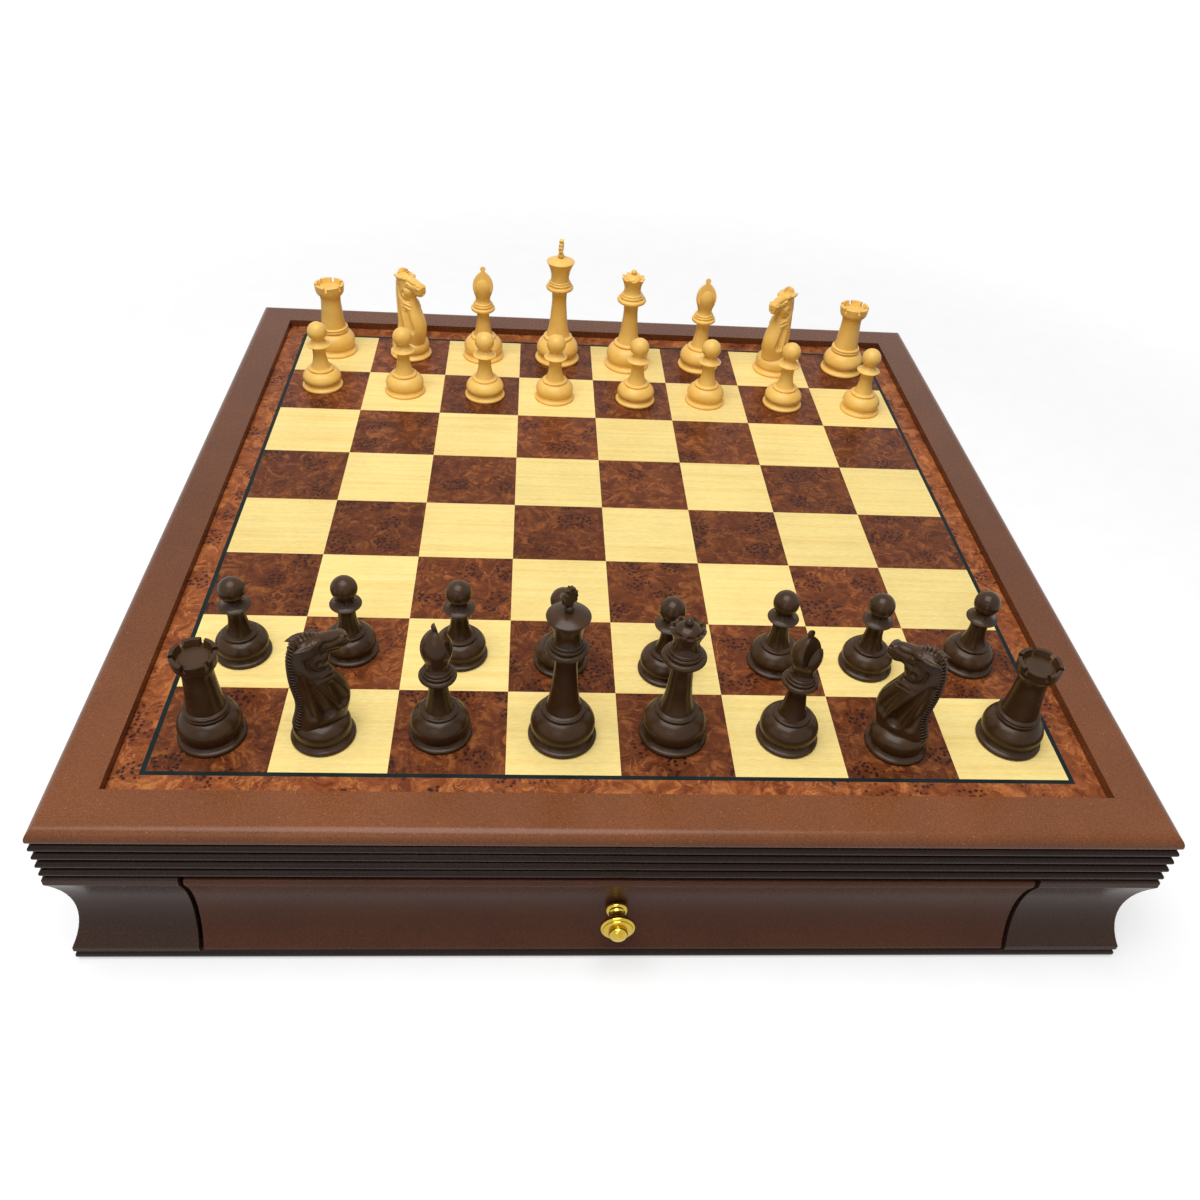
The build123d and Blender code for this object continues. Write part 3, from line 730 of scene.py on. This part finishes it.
def net(field, low, step):
    """Mesh of the zero surface of a sampled field: a point in each cell it crosses, a quad on each edge."""
    size = [n - 1 for n in field.shape]
    total = np.zeros((*size, 3))
    count = np.zeros(size)
    corners = [(i, j, k) for i in (0, 1) for j in (0, 1) for k in (0, 1)]

    def corner(c):
        return field[tuple(slice(c[a], c[a] + size[a]) for a in range(3))]

    for c in corners:
        for axis in range(3):
            if c[axis] == 0:
                d = tuple(v + (a == axis) for a, v in enumerate(c))
                f0, f1 = corner(c), corner(d)
                cross = (f0 < 0) != (f1 < 0)
                t = np.where(cross, f0 / np.where(cross, f0 - f1, 1), 0)
                count += cross
                for a in range(3):
                    total[..., a] += cross * (c[a] + (t if a == axis else 0))
    used = count > 0
    number = np.full(size, -1)
    number[used] = np.arange(used.sum())
    points = (np.argwhere(used) + total[used] / count[used][:, None]) * step + low
    quads = []
    inside = field < 0
    for axis in range(3):
        b, c = (axis + 1) % 3, (axis + 2) % 3
        here = np.moveaxis(inside, (axis, b, c), (0, 1, 2))
        there = np.moveaxis(number, (axis, b, c), (0, 1, 2))
        first, second = here[:-1, 1:-1, 1:-1], here[1:, 1:-1, 1:-1]
        ring = [there[:, :-1, :-1], there[:, 1:, :-1], there[:, 1:, 1:], there[:, :-1, 1:]]
        for way, which in ((1, first & ~second), (-1, ~first & second)):
            quads.append(np.stack([r[which] for r in ring[::way]], axis=1))
    return points, np.concatenate(quads)


def lathe(outline, sides):
    """Points and faces of a turned form. The outline runs from the rim below to the rim above."""
    points, faces = [], []
    for k in range(sides):
        a = 2 * math.pi * k / sides
        points += [(r * math.cos(a), r * math.sin(a), z) for r, z in outline]
    n = len(outline)
    for k in range(sides):
        a, b = k * n, (k + 1) % sides * n
        faces += [(a + i, b + i, b + i + 1, a + i + 1) for i in range(n - 1)]
    faces.append(tuple(k * n for k in reversed(range(sides))))
    faces.append(tuple(k * n + n - 1 for k in range(sides)))
    return points, faces


def swell(start, end, out, steps=14):
    """Points of a bulging run from start to end."""
    run = np.subtract(end, start)
    normal = np.array((run[1], -run[0])) / np.hypot(*run)
    t = np.linspace(0, 1, steps)[:, None]
    return [tuple(v) for v in start + run * t + out * normal * np.sin(math.pi * t)]


def foot_outline(r):
    """Outline of the foot: a rounded rim, a hollow, a step and the belly."""
    outline = swell((0.962 * r, 0), (0.965 * r, 0.138 * r), 0.036 * r)
    outline += swell((0.96 * r, 0.142 * r), (0.838 * r, 0.3 * r), -0.022 * r)
    outline += [(0.838 * r, 0.332 * r)]
    return outline + swell((0.885 * r, 0.36 * r), (0.6 * r, 0.877 * r), 0.12 * r, 24)


def knight_mesh():
    axes = [np.arange(a, b, KNIGHT_STEP) for a, b in zip(KNIGHT_LOW, KNIGHT_HIGH)]
    field = knight_field(np.meshgrid(*axes, indexing="ij"))
    points, quads = net(field, np.array(KNIGHT_LOW), KNIGHT_STEP)
    points = [tuple(v) for v in points]
    faces = [tuple(map(int, q)) for q in quads]
    for more_points, more_faces in (lathe(foot_outline(KNIGHT_R), FOOT_SIDES), mane_ribs()):
        shift = len(points)
        points += more_points
        faces += [tuple(i + shift for i in f) for f in more_faces]
    return [tuple(v * MM for v in p) for p in points], faces


def stand_knights():
    points, faces = knight_mesh()
    sole = 0.05 * MM
    for node, turn in KNIGHT_TURN.items():
        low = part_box(node)[0]
        under = [v.co for v in nodes[node].data.vertices if v.co.z < low.z + sole]
        middle = [(min(v[k] for v in under) + max(v[k] for v in under)) / 2 for k in (0, 1)]
        place = Matrix.Translation((*middle, low.z)) @ Matrix.Rotation(math.radians(turn), 4, "Z")
        colour = node.split("_")[0] + "_men"
        carved = mesh_object(node + "_carved", points, faces, finishes[colour])
        carved.data.transform(place)
        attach(carved, node)
        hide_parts(node)


stand_knights()

# Camera: where the photograph was taken from. The picture is square.
# Its side and the focal length are in pixels.
PICTURE = 1200
FOCAL = 1062.78
CAMERA_PLACE = Vector((-0.04793, -0.55062, 0.47995))
CAMERA_RIGHT = Vector((0.9972, -0.0405, 0.0626))
CAMERA_BACK = Vector((-0.0713, -0.7627, 0.6428))

lens = bpy.data.cameras.new("camera")
lens.sensor_width = 36.0
lens.lens = FOCAL / PICTURE * lens.sensor_width
lens.clip_start = 0.01
camera = bpy.data.objects.new("camera", lens)
back = CAMERA_BACK.normalized()
up = back.cross(CAMERA_RIGHT).normalized()
turned = Matrix((up.cross(back), up, back)).transposed().to_4x4()
camera.matrix_world = Matrix.Translation(CAMERA_PLACE) @ turned
bpy.context.scene.collection.objects.link(camera)
bpy.context.scene.camera = camera


def area_light(name, place, aim, size, power):
    data = bpy.data.lights.new(name, "AREA")
    data.size = size
    data.energy = power
    lamp = bpy.data.objects.new(name, data)
    lamp.location = place
    lamp.rotation_euler = (Vector(aim) - Vector(place)).to_track_quat("-Z", "Y").to_euler()
    bpy.context.scene.collection.objects.link(lamp)


area_light("overhead", place=(-0.2, -0.3, 1.6), aim=(0, 0, 0.1), size=1.2, power=27.5)
area_light("front_fill", place=(-0.5, -1.6, 1.0), aim=(0, 0, 0.05), size=0.8, power=2.5)


def white_for_camera(tree):
    """1 for the rays that see the background or its reflection, else 0."""
    rays = put(tree, "ShaderNodeLightPath").outputs
    seen = maths(tree, "MAXIMUM", rays["Is Camera Ray"], rays["Is Glossy Ray"])
    return maths(tree, "MAXIMUM", seen, rays["Is Transmission Ray"])


AMBIENT = 0.1
world = bpy.data.worlds.new("studio")
bpy.context.scene.world = world
world.use_nodes = True
sky = world.node_tree
sky_inputs = sky.nodes["Background"].inputs
sky_inputs["Color"].default_value = WHITE
sky.links.new(between(sky, white_for_camera(sky), 0, 1, AMBIENT, 1.0), sky_inputs["Strength"])

# Floor: grey enough to keep the shadow, with a glow that brings it to white, weaker near the box
FLOOR_REACH = 8.0
GLOW_NEAR = 0.5
GLOW_FAR = 1.4
NEAR_GLOW = 0.58


def lay_floor():
    made, tree, shader, where = material("floor", roughness=0.9, specular_ior_level=0.0)
    grain = noise(tree, where, FLOOR_GRAIN, 2.0)
    grey = ramp(tree, grain, (0.3, tone(186, 186, 186)), (0.7, tone(190, 190, 190)))
    tree.links.new(grey, shader.inputs["Base Color"])
    shader.inputs["Emission Color"].default_value = WHITE
    away = put(tree, "ShaderNodeVectorMath", {0: where}, operation="LENGTH").outputs["Value"]
    glow = times(tree, white_for_camera(tree), between(tree, away, GLOW_NEAR, GLOW_FAR, NEAR_GLOW, 1.0))
    tree.links.new(glow, shader.inputs["Emission Strength"])
    reach = FLOOR_REACH
    corners = [(-reach, -reach, 0), (reach, -reach, 0), (reach, reach, 0), (-reach, reach, 0)]
    mesh_object("floor", corners, [(0, 1, 2, 3)], made)


lay_floor()
bpy.context.scene.view_settings.view_transform = "Standard"
